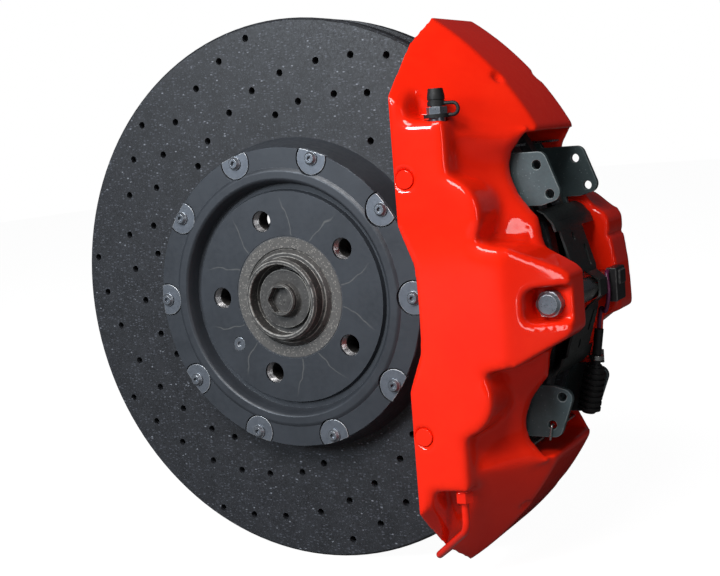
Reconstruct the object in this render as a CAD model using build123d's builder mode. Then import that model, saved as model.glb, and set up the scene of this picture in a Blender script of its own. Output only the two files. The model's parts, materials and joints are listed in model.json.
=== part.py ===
from build123d import *
import os
from math import cos, sin, radians, sqrt, tan

# Ventilated brake disc on a bolted bell, hub and bearing, with a six-piston fixed caliper.
# Frame: origin at the centre of the bell's wheel face, on the axle axis. +Y points inboard (to the
# car), +X from the axle to the middle of the caliper, +Z up. Everything is in millimetres.

os.makedirs("parts", exist_ok=True)

# ---- disc -------------------------------------------------------------------------------------
DISC_R = 190.0
DISC_T = 38.0
DISC_FRONT = 15.0
DISC_BACK = DISC_FRONT + DISC_T
MID_Y = DISC_FRONT + DISC_T / 2
FACE_PLATE_T = 11.0
RING_BORE_R = 88.0
EDGE_BREAK = 1.6
VANES = 40
VANE_T = 4.0
VANE_SKEW = -11.0
DRILL_R = 2.5
DRILL_FIRST_R = 121.8
DRILL_ROW_PITCH = 8.0
DRILL_ARMS = 10
DRILL_ROW_ANGLES = (57.5, 49.0, 37.5, 28.0, 18.5, 8.0, -1.0, -9.5)

# ---- bell and its fasteners -------------------------------------------------------------------
WHEEL_PCD_R = 56.0
WHEEL_HOLES = 5
WHEEL_HOLE_START = 36.0
WHEEL_HOLE_R = 7.5
BELL_BORE_R = 34.2
BELL_T = 8.0
BELL_LIP_Y = -7.5
BELL_FLANGE_Y = -6.0
BELL_FLANGE_R = 104.0
BELL_BOLT_R = 99.4
BELL_BOLTS = 10
WASHER_R = 11.0
WASHER_T = 2.2
WASHER_POCKET_R = 11.9
M6_R = 3.0
BUSH_R = 7.2
RETAINER_ANGLE = 216.4

# ---- hub and bearing --------------------------------------------------------------------------
SPIGOT_R = 28.55
HUB_SEAT_R = 26.0
HUB_FLANGE_R = 73.0
HUB_STUD_R = 7.0
BEARING_PITCH_R = 35.0
BALL_R = 6.0
BALL_ROWS_Y = (37.0, 59.0)
BALLS_PER_ROW = 14
RACE_CLEARANCE = 0.2
CARRIER_BOLT_R = 54.0
CARRIER_SPIGOT_R = 45.0

# ---- caliper ----------------------------------------------------------------------------------
FACE_Y = -55.0
INNER_X = 116.5
OUTER_R = 215.0
SHOULDER_SLOPE = 1.4
BRIDGE_BACK_Y = 2.0
LEDGE_Z = 114.0
VALLEY_DEPTH = 15.0
ARM_Z = 101.0
END_ANGLE = 55.4
SLOT_R = 193.5
SLOT_GAP = 2.0
PAD_BAY_Z = 94.0
PLATE_OUT_Y = -3.0
PLATE_T = 4.0
FRICTION_T = 13.3
PISTONS = ((150.0, 0.0, 18.0), (147.5, 55.0, 16.0), (147.5, -55.0, 16.0))
PISTON_CLEARANCE = 0.05
PISTON_GAP = 0.3
PISTON_LENGTH = 38.0
BORE_DEPTH = 44.0
WALL_Y = -5.0
BLEED_X = 144.5
BLEED_Y = -46.0
BOLT_X = 202.0
DIMPLE_ANGLE = 39.5
LUG_Z = 82.0
LUG_Y = 104.0
LUG_HOLE_R = 6.5


def facing_wheel(y):
    """Plane across the axle: x to the right, z up, and its normal towards the wheel (-Y)."""
    return Plane(origin=(0, y, 0), x_dir=(1, 0, 0), z_dir=(0, -1, 0))


def polar(radius, angle):
    return radius * cos(radians(angle)), radius * sin(radians(angle))


def across(piece):
    """The same shape on the inboard side, mirrored about the disc's mid plane."""
    return mirror(piece, about=Plane.XZ.offset(-MID_Y))


# ---- friction ring: two drilled faces, joined by skewed vanes and bolt bosses --------------------
drill_points = []
for row, row_angle in enumerate(DRILL_ROW_ANGLES):
    for arm in range(DRILL_ARMS):
        half_step = (arm % 2) * DRILL_ROW_PITCH / 2
        row_r = DRILL_FIRST_R + row * DRILL_ROW_PITCH + half_step
        drill_points.append(polar(row_r, row_angle + arm * 360 / DRILL_ARMS))

with BuildPart() as friction_ring:
    for face_y in (DISC_FRONT, DISC_BACK - FACE_PLATE_T):
        with BuildSketch(facing_wheel(face_y)):
            Circle(DISC_R)
            Circle(RING_BORE_R, mode=Mode.SUBTRACT)
            with Locations(*drill_points):
                Circle(DRILL_R, mode=Mode.SUBTRACT)
            with PolarLocations(BELL_BOLT_R, BELL_BOLTS):
                Circle(BUSH_R, mode=Mode.SUBTRACT)
        extrude(amount=-FACE_PLATE_T)
    with BuildSketch(facing_wheel(DISC_FRONT + FACE_PLATE_T)):
        with PolarLocations(150.5, VANES, start_angle=6.2):
            Rectangle(75, VANE_T, rotation=VANE_SKEW)
        with PolarLocations(BELL_BOLT_R, BELL_BOLTS):
            Circle(11.2)
            Circle(BUSH_R, mode=Mode.SUBTRACT)
    extrude(amount=-(DISC_T - 2 * FACE_PLATE_T))
    rims = friction_ring.edges().filter_by(GeomType.CIRCLE).filter_by(lambda e: abs(e.radius - DISC_R) < 0.01)
    rims = rims.sort_by(Axis.Y)
    chamfer([rims[0], rims[-1]], EDGE_BREAK)

# ---- bell ----------------------------------------------------------------------------------------
with BuildPart() as disc_bell:
    with BuildSketch(Plane.XY):
        with BuildLine():
            Polyline(
                (BELL_BORE_R, 0.4), (BELL_BORE_R + 0.4, 0), (42.0, 0), (42.2, 0.35), (42.7, 0.35), (42.9, 0),
                (73.5, 0), (74.8, 3.0), (78.6, 3.0), (80.6, -5.5), (82.0, BELL_LIP_Y + 0.4),
                (83.2, BELL_LIP_Y), (87.0, BELL_LIP_Y), (88.4, BELL_LIP_Y + 0.4), (90.0, BELL_FLANGE_Y),
                (BELL_FLANGE_R - 0.6, BELL_FLANGE_Y), (BELL_FLANGE_R, BELL_FLANGE_Y + 0.6),
                (108.0, 12.0), (109.5, DISC_FRONT), (RING_BORE_R - 0.2, DISC_FRONT),
                (RING_BORE_R - 0.2, 27.0), (RING_BORE_R - 1.2, 28.0), (83.0, 28.0), (78.5, 14.0),
                (73.0, BELL_T), (BELL_BORE_R, BELL_T), close=True,
            )
        make_face()
    revolve(axis=Axis.Y)
    with BuildSketch(facing_wheel(BELL_FLANGE_Y + WASHER_T)):
        with PolarLocations(BELL_BOLT_R, BELL_BOLTS):
            Circle(WASHER_POCKET_R)
    extrude(amount=8, mode=Mode.SUBTRACT)
    with BuildSketch(facing_wheel(DISC_FRONT)):
        with PolarLocations(BELL_BOLT_R, BELL_BOLTS):
            Circle(M6_R + 0.2)
    extrude(amount=30, mode=Mode.SUBTRACT)
    with BuildSketch(facing_wheel(BELL_T)):
        with PolarLocations(WHEEL_PCD_R, WHEEL_HOLES, start_angle=WHEEL_HOLE_START):
            Circle(WHEEL_HOLE_R)
        with Locations(polar(WHEEL_PCD_R, RETAINER_ANGLE)):
            Circle(M6_R + 0.2)
    extrude(amount=20, mode=Mode.SUBTRACT)
    with Locations(facing_wheel(0) * Location((*polar(WHEEL_PCD_R, RETAINER_ANGLE), 0))):
        CounterSinkHole(M6_R + 0.2, 5.2, depth=BELL_T)

with BuildPart() as bell_washers:
    with BuildSketch(facing_wheel(BELL_FLANGE_Y + WASHER_T)):
        with PolarLocations(BELL_BOLT_R, BELL_BOLTS):
            Circle(WASHER_R)
            Circle(M6_R + 0.15, mode=Mode.SUBTRACT)
        Circle(BELL_FLANGE_R + 0.1, mode=Mode.INTERSECT)
    extrude(amount=WASHER_T)

BUSH_FLANGE_T = 1.6
NUT_T = 6.0
with BuildPart() as bell_bolts:
    with BuildSketch(facing_wheel(DISC_BACK + BUSH_FLANGE_T + NUT_T + 1.5)):
        with PolarLocations(BELL_BOLT_R, BELL_BOLTS):
            Circle(M6_R)
    extrude(amount=DISC_BACK + BUSH_FLANGE_T + NUT_T + 1.5 - BELL_FLANGE_Y)
    with BuildSketch(facing_wheel(BELL_FLANGE_Y)):
        with PolarLocations(BELL_BOLT_R, BELL_BOLTS):
            Circle(4.7)
    extrude(amount=1.0)
    with BuildSketch(facing_wheel(BELL_FLANGE_Y - 1.0)):
        with PolarLocations(BELL_BOLT_R, BELL_BOLTS):
            Circle(4.5)
    extrude(amount=1.8, taper=38)
    with BuildSketch(facing_wheel(BELL_FLANGE_Y - 2.8)):
        with PolarLocations(BELL_BOLT_R, BELL_BOLTS):
            RegularPolygon(1.75, 6)
    extrude(amount=-1.8, mode=Mode.SUBTRACT)

with BuildPart() as bell_bushes:
    with BuildSketch(facing_wheel(DISC_BACK)):
        with PolarLocations(BELL_BOLT_R, BELL_BOLTS):
            Circle(BUSH_R)
            Circle(M6_R + 0.15, mode=Mode.SUBTRACT)
    extrude(amount=DISC_T - 0.2)
    with BuildSketch(facing_wheel(DISC_BACK + BUSH_FLANGE_T)):
        with PolarLocations(BELL_BOLT_R, BELL_BOLTS):
            Circle(9.5)
            Circle(M6_R + 0.15, mode=Mode.SUBTRACT)
    extrude(amount=BUSH_FLANGE_T)

with BuildPart() as bell_nuts:
    with BuildSketch(facing_wheel(DISC_BACK + BUSH_FLANGE_T + NUT_T)):
        with PolarLocations(BELL_BOLT_R, BELL_BOLTS):
            RegularPolygon(5.77, 6)
            Circle(M6_R, mode=Mode.SUBTRACT)
    extrude(amount=NUT_T)

with BuildPart() as disc_retaining_screw:
    with Locations(facing_wheel(0.3) * Location((*polar(WHEEL_PCD_R, RETAINER_ANGLE), 0))):
        Cone(M6_R - 0.1, 4.8, 2.0, align=(Align.CENTER, Align.CENTER, Align.MAX))
        Cylinder(M6_R - 0.1, 16, align=(Align.CENTER, Align.CENTER, Align.MAX))
        with Locations((0, 0, -1.6)):
            Cylinder(1.9, 1.7, align=(Align.CENTER, Align.CENTER, Align.MIN), mode=Mode.SUBTRACT)

# ---- hub, axle bolt and bearing ------------------------------------------------------------------
with BuildPart() as wheel_hub:
    with BuildSketch(Plane.XY):
        with BuildLine():
            Polyline(
                (12.0, -2.5), (24.3, -2.5), (24.3, -11.4), (24.9, -12.0), (27.0, -12.0), (SPIGOT_R, -10.2),
                (SPIGOT_R, -2.2), (31.2, -2.2), (33.9, 0.6), (33.9, BELL_T), (HUB_FLANGE_R - 1, BELL_T),
                (HUB_FLANGE_R, BELL_T + 1), (HUB_FLANGE_R, 17.0), (HUB_FLANGE_R - 2, 19.0), (46.0, 19.0),
                (36.0, 26.0), (HUB_SEAT_R, 26.0), (HUB_SEAT_R, 70.0), (31.0, 70.0), (31.0, 74.0),
                (28.0, 77.0), (14.0, 77.0), (14.0, 46.0), (12.0, 46.0), close=True,
            )
        make_face()
    revolve(axis=Axis.Y)
    with BuildSketch(facing_wheel(24.0)):
        with PolarLocations(WHEEL_PCD_R, WHEEL_HOLES, start_angle=WHEEL_HOLE_START):
            Circle(HUB_STUD_R)
        with Locations(polar(WHEEL_PCD_R, RETAINER_ANGLE)):
            Circle(M6_R)
    extrude(amount=20, mode=Mode.SUBTRACT)

with BuildPart() as axle_bolt:
    with BuildSketch(Plane.XY):
        with BuildLine():
            Polyline(
                (0, -12.0), (10.3, -12.0), (11.3, -11.0), (11.3, -8.0), (13.0, -5.5), (10.0, -5.5),
                (10.0, 44.0), (8.5, 45.5), (0, 45.5), close=True,
            )
        make_face()
    revolve(axis=Axis.Y)
    with BuildSketch(facing_wheel(-6.4)):
        RegularPolygon(8.5 / cos(radians(30)), 6)
    extrude(amount=10, mode=Mode.SUBTRACT)

with BuildPart() as axle_bolt_washer:
    with BuildSketch(facing_wheel(-2.5)):
        Circle(20.3)
        Circle(10.2, mode=Mode.SUBTRACT)
    extrude(amount=3.0)

INNER_SHOULDER_R = 31.5
OUTER_SHOULDER_R = 38.5
RACE_R = BALL_R + RACE_CLEARANCE
row_mid = sum(BALL_ROWS_Y) / 2
with BuildPart() as bearing_inner_races:
    for race_front, race_back in ((26.0, row_mid - 0.1), (row_mid + 0.1, 70.0)):
        with BuildSketch(Plane.XY):
            with Locations(((HUB_SEAT_R + INNER_SHOULDER_R) / 2, (race_front + race_back) / 2)):
                Rectangle(INNER_SHOULDER_R - HUB_SEAT_R, race_back - race_front)
            with Locations(*[(BEARING_PITCH_R, row_y) for row_y in BALL_ROWS_Y]):
                Circle(RACE_R, mode=Mode.SUBTRACT)
        revolve(axis=Axis.Y)

with BuildPart() as bearing_outer_ring:
    with BuildSketch(Plane.XY):
        with BuildLine():
            Polyline(
                (OUTER_SHOULDER_R, 28.0), (CARRIER_SPIGOT_R - 2, 28.0), (CARRIER_SPIGOT_R, 30.0),
                (CARRIER_SPIGOT_R, 44.0), (49.0, 47.0), (63.0, 47.0), (64.0, 48.0), (64.0, 58.0),
                (CARRIER_SPIGOT_R, 58.0), (CARRIER_SPIGOT_R, 77.0), (CARRIER_SPIGOT_R - 1.5, 78.5),
                (OUTER_SHOULDER_R, 78.5), close=True,
            )
        make_face()
        with Locations(*[(BEARING_PITCH_R, row_y) for row_y in BALL_ROWS_Y]):
            Circle(RACE_R, mode=Mode.SUBTRACT)
    revolve(axis=Axis.Y)
    with BuildSketch(facing_wheel(60.0)):
        with PolarLocations(CARRIER_BOLT_R, 4, start_angle=45):
            Circle(6.0)
    extrude(amount=20, mode=Mode.SUBTRACT)

with BuildPart() as bearing_seals:
    for seal_y in (28.0, 72.0):
        with BuildSketch(Plane.XY):
            with BuildLine():
                Polyline(
                    (OUTER_SHOULDER_R, seal_y), (OUTER_SHOULDER_R, seal_y + 2.6), (37.3, seal_y + 2.6),
                    (37.3, seal_y + 1.4), (INNER_SHOULDER_R + 0.4, seal_y + 1.4),
                    (INNER_SHOULDER_R + 0.4, seal_y), close=True,
                )
            make_face()
        revolve(axis=Axis.Y)

with BuildPart() as bearing_balls:
    for row_y in BALL_ROWS_Y:
        with Locations(facing_wheel(row_y)):
            with PolarLocations(BEARING_PITCH_R, BALLS_PER_ROW):
                Sphere(BALL_R)

CAGE_POCKET_R = BALL_R + 0.15
with BuildPart() as bearing_cages:
    for row_y, side in zip(BALL_ROWS_Y, (1, -1)):
        with BuildSketch(facing_wheel(row_y + side * 8.0)):
            Circle(36.6)
            Circle(33.4, mode=Mode.SUBTRACT)
        extrude(amount=side * 10.0)
    for row_y in BALL_ROWS_Y:
        with Locations(facing_wheel(row_y)):
            with PolarLocations(BEARING_PITCH_R, BALLS_PER_ROW):
                Sphere(CAGE_POCKET_R, mode=Mode.SUBTRACT)

# ---- caliper body --------------------------------------------------------------------------------
# The edge of the pad window on each half, as (height, distance from the axle plane) of its rim.
OUTBOARD_RIM = (
    (0, 197.0), (22, 195.0), (36, 191.0), (49, 189.0), (56, 183.0), (64, 177.0), (74, 173.0),
    (82, 172.0), (90, 174.0), (97, 180.0), (104.5, 186.0),
)
INBOARD_RIM = (
    (0, 200.0), (26, 198.0), (38, 197.0), (51, 195.5), (56, 191.5), (64, 187.0), (74, 179.0),
    (82, 176.0), (90, 176.0), (97, 181.0), (104.5, 186.5),
)
# Outlines of the bosses that carry the bridge bolt, as (distance from the axle plane, height).
OUTBOARD_BOSS = (
    (150, -42), (184, -36), (211, -21), (215, -17), (215, 17), (211, 21), (184, 36), (150, 42),
)
INBOARD_BOSS = (
    (150, -42), (184, -36), (198.5, -25.8), (210.5, -21), (211.4, -16.9), (210.2, 7.5), (207.1, 27.3),
    (203.5, 27.8), (203.5, 29.6), (206.1, 30.1), (206.1, 39.3), (203.4, 44.1), (184, 56), (150, 62),
)
SHOULDER_TOP = BRIDGE_BACK_Y - SHOULDER_SLOPE * OUTER_R


def shoulder_y(radius):
    """Height of the conical shoulder that runs from the outer band down to the front face."""
    return SHOULDER_TOP + SHOULDER_SLOPE * radius


def rim_section(x_rim, z):
    """Half-caliper section at one height: flat inside, a raked shoulder up to the window rim."""
    shoulder = shoulder_y(sqrt(x_rim**2 + z**2))
    return (
        (INNER_X, WALL_Y), (INNER_X, FACE_Y + VALLEY_DEPTH), (150.5, FACE_Y + VALLEY_DEPTH),
        (x_rim - 1.5, min(max(WALL_Y - 8, shoulder), WALL_Y - 1)),
        (x_rim, min(max(WALL_Y - 5, shoulder), WALL_Y - 0.5)), (x_rim, WALL_Y),
    )


def flank(rim):
    """Middle of one caliper half, lofted through its rim sections and mirrored top to bottom."""
    with BuildPart() as upper:
        for z, x_rim in rim:
            with BuildSketch(Plane.XY.offset(z)):
                with BuildLine():
                    Polyline(*rim_section(x_rim, z), close=True)
                make_face()
        loft(ruled=True)
        mirror(about=Plane.XY)
    return upper.part


def housing():
    """Piston housing: a flat face with three cylinder bulges and a ledge at each end."""
    with BuildPart() as body:
        with BuildSketch(facing_wheel(WALL_Y)) as face:
            with Locations(((INNER_X + 152.0) / 2, 0)):
                Rectangle(152.0 - INNER_X, 2 * LEDGE_Z)
            with Locations(((INNER_X + 167.0) / 2, 0)):
                Rectangle(167.0 - INNER_X, 90)
            for x, z, r in PISTONS:
                with Locations((x - 1 if z else x, z)):
                    Circle(24.5 if z else 31.0)
        extrude(amount=WALL_Y - FACE_Y)
    return body.part


def ends():
    """Both ends of one half: the conical shoulder and half of the bridge over the disc's edge."""
    with BuildPart() as ring:
        with BuildSketch(Plane.XY):
            with BuildLine():
                Polyline(
                    (INNER_X, MID_Y), (INNER_X, FACE_Y), ((FACE_Y - SHOULDER_TOP) / SHOULDER_SLOPE, FACE_Y),
                    (OUTER_R, BRIDGE_BACK_Y), (OUTER_R, MID_Y), close=True,
                )
            make_face()
        revolve(axis=Axis.Y)
        with BuildSketch(facing_wheel(MID_Y)):
            with BuildLine():
                tip_x, tip_z = polar(OUTER_R, END_ANGLE)
                Polyline(
                    (INNER_X, ARM_Z), (INNER_X, 161.0), (tip_x, tip_z), (240.0, tip_z + 30), (240.0, ARM_Z),
                    close=True,
                )
            make_face()
            mirror(about=Plane.XZ)
        extrude(amount=120, mode=Mode.INTERSECT)
        # recess behind each ledge, its floor rising to meet the shoulder, deeper where the pipe runs
        with BuildSketch(Plane.YZ.offset(127.0)):
            with BuildLine():
                Polyline((-60, LEDGE_Z), (-36, LEDGE_Z), (-38, 126), (-50, 149), (-60, 156), close=True)
            make_face()
            with BuildLine():
                Polyline((-60, -LEDGE_Z), (-36, -LEDGE_Z), (-24, -150), (-60, -158), close=True)
            make_face()
        extrude(amount=29, mode=Mode.SUBTRACT)
    return ring.part


def centre_boss(outline):
    """Boss that carries the bridge bolt, raked back from the housing to its outer corner."""
    with BuildPart() as boss:
        with BuildSketch(facing_wheel(WALL_Y)):
            with BuildLine():
                Polyline(*outline, close=True)
            make_face()
        extrude(amount=WALL_Y - FACE_Y)
        with BuildSketch(Plane.XY.offset(-90)):
            with BuildLine():
                Polyline((181, FACE_Y - 1), (230, FACE_Y - 1), (230, -19.75), (181, FACE_Y), close=True)
            make_face()
        extrude(amount=180, mode=Mode.SUBTRACT)
    return boss.part


flank_out = flank(OUTBOARD_RIM)
flank_in = across(flank(INBOARD_RIM))
housing_out = housing()
ends_out = ends()
boss_out = centre_boss(OUTBOARD_BOSS)
boss_in = across(centre_boss(INBOARD_BOSS))

with BuildPart() as caliper_body:
    add(ends_out)
    add(across(ends_out))
    add(flank_out)
    add(flank_in)
    add(housing_out)
    add(across(housing_out))
    add(boss_out)
    add(boss_in)
    # mounting lugs on the inboard half
    with BuildSketch(Plane.YZ.offset(99.0)):
        with Locations((LUG_Y, LUG_Z), (LUG_Y, -LUG_Z)):
            RectangleRounded(36, 44, 12)
    extrude(amount=40)
    # slot for the disc and clearance for the bell
    with BuildSketch(facing_wheel(DISC_BACK + SLOT_GAP)):
        Circle(SLOT_R)
    extrude(amount=DISC_T + 2 * SLOT_GAP, mode=Mode.SUBTRACT)
    with BuildSketch(facing_wheel(140)):
        with BuildLine():
            Polyline(
                (90, 51), (INNER_X, 51), (126.0, 26), (126.5, 0), (126.0, -26), (INNER_X, -51), (90, -51),
                close=True,
            )
        make_face()
    extrude(amount=210, mode=Mode.SUBTRACT)
    # pad bay, open to the outside, its ends flared and rounded where they leave the disc's edge
    with BuildSketch(facing_wheel(2 * MID_Y - WALL_Y)):
        with BuildLine():
            Polyline(
                (184.2, 97.6), (177, PAD_BAY_Z), (100, PAD_BAY_Z), (100, 0), (240, 0), (240, 112), (200, 112),
                (187.6, 106.2),
            )
            ThreePointArc((187.6, 106.2), (188.2, 101.6), (184.2, 97.6))
        make_face()
        mirror(about=Plane.XZ)
    extrude(amount=2 * (MID_Y - WALL_Y), mode=Mode.SUBTRACT)
    # tapered dimples in the outer corner of each end
    for side in (1, -1):
        for angle in (DIMPLE_ANGLE, -DIMPLE_ANGLE):
            x, z = polar(OUTER_R - 0.5, angle)
            y = MID_Y - side * (MID_Y - 1.0)
            with Locations(Plane(origin=(x, y, z), z_dir=(x / OUTER_R, -0.48 * side, z / OUTER_R))):
                Cone(2.6, 7.0, 6.5, mode=Mode.SUBTRACT)
    # piston bores with a seal groove and a boot groove each
    for side in (1, -1):
        for x, z, r in PISTONS:
            wall = MID_Y - side * (MID_Y - WALL_Y)
            for radius, start, depth in (
                (r + PISTON_CLEARANCE, 0, BORE_DEPTH),
                (r + 2.5, 9.0, 3.0),
                (r + 3.0, 0, 4.5),
            ):
                with BuildSketch(facing_wheel(wall - side * start)):
                    with Locations((x, z)):
                        Circle(radius)
                extrude(amount=side * depth, mode=Mode.SUBTRACT)
    # pocket, passage and thread for the bridge bolt
    with BuildSketch(facing_wheel(-27.0)):
        with Locations((BOLT_X + 9, 0)):
            RectangleRounded(40, 21, 6)
    extrude(amount=40, mode=Mode.SUBTRACT)
    with BuildSketch(facing_wheel(100.0)):
        with Locations((BOLT_X, 0)):
            Circle(5.0)
    extrude(amount=140, mode=Mode.SUBTRACT)
    # bleed and crossover ports on the four ledges
    for port_y in (BLEED_Y, 2 * MID_Y - BLEED_Y):
        for port_z in (LEDGE_Z, -LEDGE_Z):
            with BuildSketch(Plane.XY.offset(port_z)):
                with Locations((BLEED_X, port_y)):
                    Circle(5.0)
            extrude(amount=-18 if port_z > 0 else 18, mode=Mode.SUBTRACT)
    # plug seats in the outboard face
    with BuildSketch(facing_wheel(FACE_Y)):
        with Locations((124, 79), (124, -79)):
            Circle(6.0)
    extrude(amount=-5.0, mode=Mode.SUBTRACT)
    # fixing holes through the lugs, with a flat seat for each bolt head
    with BuildSketch(Plane.YZ.offset(90.0)):
        with Locations((LUG_Y, LUG_Z), (LUG_Y, -LUG_Z)):
            Circle(LUG_HOLE_R)
    extrude(amount=100, mode=Mode.SUBTRACT)
    # brake hose port in the inboard face
    with BuildSketch(facing_wheel(2 * MID_Y - FACE_Y)):
        with Locations((150, 28)):
            Circle(5.0)
    extrude(amount=16, mode=Mode.SUBTRACT)

with BuildPart() as blanking_plugs:
    with BuildSketch(facing_wheel(FACE_Y + 5.0)):
        with Locations((124, 79), (124, -79)):
            Circle(5.7)
    extrude(amount=5.0)

# ---- pads ----------------------------------------------------------------------------------------
PAD_HALF = PAD_BAY_Z - 1.6
SHIM_T = 0.8
TAB_HOLES = ((188.0, 81.0), (195.5, 63.0))


def pad_outline(outer_r, inner_r, half_length):
    """Arched pad outline in the plane of the current sketch."""
    Circle(outer_r)
    Circle(inner_r, mode=Mode.SUBTRACT)
    with Locations((170, 0)):
        Rectangle(140, 2 * half_length, mode=Mode.INTERSECT)


def backplate():
    """Steel backplate with a two-hole tab at each end."""
    with BuildPart() as plate:
        with BuildSketch(facing_wheel(PLATE_OUT_Y + PLATE_T)):
            pad_outline(188.5, 116.0, PAD_HALF)
            with BuildSketch(mode=Mode.PRIVATE) as tab:
                with BuildLine():
                    FilletPolyline(
                        (160, 56), (190, 56), (204, 60), (193, 89), (160, 89), radius=6, close=True,
                    )
                make_face()
                mirror(about=Plane.XZ)
            add(tab.sketch)
            for x, z in TAB_HOLES:
                with Locations((x, z), (x, -z)):
                    Circle(2.8, mode=Mode.SUBTRACT)
        extrude(amount=PLATE_T)
    return plate.part


def friction_block():
    """Friction material with raked ends and a centre groove."""
    with BuildPart() as block:
        with BuildSketch(facing_wheel(PLATE_OUT_Y + PLATE_T + FRICTION_T)):
            pad_outline(186.0, 119.0, PAD_HALF - 5)
        extrude(amount=FRICTION_T)
        with BuildSketch(facing_wheel(PLATE_OUT_Y + PLATE_T + FRICTION_T)):
            with Locations((155, 0)):
                Rectangle(90, 4)
        extrude(amount=FRICTION_T - 3, mode=Mode.SUBTRACT)
        worn_y = PLATE_OUT_Y + PLATE_T + FRICTION_T
        with BuildSketch(Plane.YZ.offset(90)):
            with BuildLine():
                Polyline((worn_y, PAD_HALF - 12), (worn_y, PAD_HALF), (worn_y - 6, PAD_HALF), close=True)
            make_face()
            mirror(about=Plane.XZ)
        extrude(amount=110, mode=Mode.SUBTRACT)
    return block.part


def shim():
    """Thin damping plate between pistons and backplate."""
    with BuildPart() as plate:
        with BuildSketch(facing_wheel(PLATE_OUT_Y)):
            pad_outline(182.0, 122.0, PAD_HALF - 8)
        extrude(amount=SHIM_T)
    return plate.part


def pistons():
    """Three hollow pistons, open towards the pad."""
    front = PLATE_OUT_Y - SHIM_T - PISTON_GAP
    with BuildPart() as group:
        for x, z, r in PISTONS:
            with BuildSketch(facing_wheel(front)):
                with Locations((x, z)):
                    Circle(r)
            extrude(amount=PISTON_LENGTH)
            with BuildSketch(facing_wheel(front)):
                with Locations((x, z)):
                    Circle(r - 4)
            extrude(amount=PISTON_LENGTH - 6, mode=Mode.SUBTRACT)
    return group.part


def rings(outer_gap, inner_gap, start, length, lip):
    """Rubber rings round the pistons, with an optional thin lip on the pad side."""
    with BuildPart() as group:
        for x, z, r in PISTONS:
            with BuildSketch(facing_wheel(WALL_Y - start)):
                with Locations((x, z)):
                    Circle(r + outer_gap)
                    Circle(r + inner_gap + lip, mode=Mode.SUBTRACT)
            extrude(amount=length)
            if lip:
                with BuildSketch(facing_wheel(WALL_Y - start)):
                    with Locations((x, z)):
                        Circle(r + outer_gap - 0.5)
                        Circle(r + inner_gap, mode=Mode.SUBTRACT)
                extrude(amount=1.2)
    return group.part


plate_out = backplate()
block_out = friction_block()
shim_out = shim()
pistons_out = pistons()
seals_out = rings(2.4, PISTON_CLEARANCE, 9.1, 2.8, 0)
boots_out = rings(2.9, 0.3, 0.3, 4.0, 1.0)

with BuildPart() as outboard_backplate:
    add(plate_out)
with BuildPart() as outboard_friction_pad:
    add(block_out)
with BuildPart() as outboard_shim:
    add(shim_out)
with BuildPart() as outboard_pistons:
    add(pistons_out)
with BuildPart() as inboard_backplate:
    add(across(plate_out))
with BuildPart() as inboard_friction_pad:
    add(across(block_out))
with BuildPart() as inboard_shim:
    add(across(shim_out))
with BuildPart() as inboard_pistons:
    add(across(pistons_out))
with BuildPart() as piston_seals:
    add(seals_out)
    add(across(seals_out))
with BuildPart() as dust_boots:
    add(boots_out)
    add(across(boots_out))

with BuildPart() as abutment_plates:
    with BuildSketch(Plane.XY.offset(PAD_BAY_Z - 1.2)):
        with Locations((148, 4.0), (148, 2 * MID_Y - 4.0)):
            Rectangle(56, 17.0)
    extrude(amount=1.2)
    mirror(about=Plane.XY)

# ---- centre bridge and pad spring ----------------------------------------------------------------
SLEEVE_R = 8.5
SLEEVE_STEP_Y = 46.0
HEAD_BASE_Y = -27.0
with BuildPart() as bridge_bolt:
    with BuildSketch(facing_wheel(96.0)):
        with Locations((BOLT_X, 0)):
            Circle(4.95)
    extrude(amount=96.0 - HEAD_BASE_Y)
    with BuildSketch(facing_wheel(HEAD_BASE_Y)):
        with Locations((BOLT_X, 0)):
            RegularPolygon(7.5 / cos(radians(30)), 6)
            Circle(8.0, mode=Mode.INTERSECT)
    extrude(amount=6.6)
    with BuildSketch(facing_wheel(HEAD_BASE_Y - 6.6)):
        with Locations((BOLT_X, 0)):
            Circle(7.4)
    extrude(amount=1.7, taper=43)

with BuildPart() as bridge_sleeve:
    for radius, start, end in ((5.9, 2 * MID_Y - WALL_Y, SLEEVE_STEP_Y), (SLEEVE_R, SLEEVE_STEP_Y, WALL_Y)):
        with BuildSketch(facing_wheel(start)):
            with Locations((BOLT_X, 0)):
                Circle(radius)
                Circle(4.95, mode=Mode.SUBTRACT)
        extrude(amount=start - end)

SPRING_T = 1.5
STRAP_FRONT = 6.0
STRAP_BACK = 46.0
WING_HALF_W = 35.0
STRAP_LINE = (
    (196.0, 44.5), (205.4, 14.0), (205.8, 10.5), (212.1, 5.0), (212.1, -5.0), (205.8, -10.5),
    (205.4, -14.0), (196.0, -44.5),
)
WING_LINE = ((186.5, 53.0), (191.0, 50.5), (196.0, 44.5), (197.6, 39.5))
with BuildPart() as pad_spring:
    for start, end, line in (
        (STRAP_FRONT, STRAP_BACK, STRAP_LINE),
        (MID_Y - WING_HALF_W, MID_Y + WING_HALF_W, WING_LINE),
        (MID_Y - WING_HALF_W, STRAP_BACK + 8.0, [(x, -z) for x, z in WING_LINE]),
    ):
        with BuildSketch(facing_wheel(end)):
            with BuildLine():
                Polyline(*line, *[(x - SPRING_T, z) for x, z in reversed(line)], close=True)
            make_face()
        extrude(amount=end - start)
    with BuildSketch(Plane.YZ.offset(190)):
        # the loop over the bridge bolt is a narrow tongue, rounded into the strap at each end
        with Locations((STRAP_FRONT + 10.5, 0)):
            SlotOverall(33.0, 25.0)
        with Locations((STRAP_BACK - 22, 34), (STRAP_BACK - 22, -34)):
            SlotOverall(6, 3, rotation=90)
        with Locations((STRAP_BACK - 9, 21), (STRAP_BACK - 9, -21)):
            SlotOverall(14, 3.5, rotation=80)
    extrude(amount=30, mode=Mode.SUBTRACT)

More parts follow.
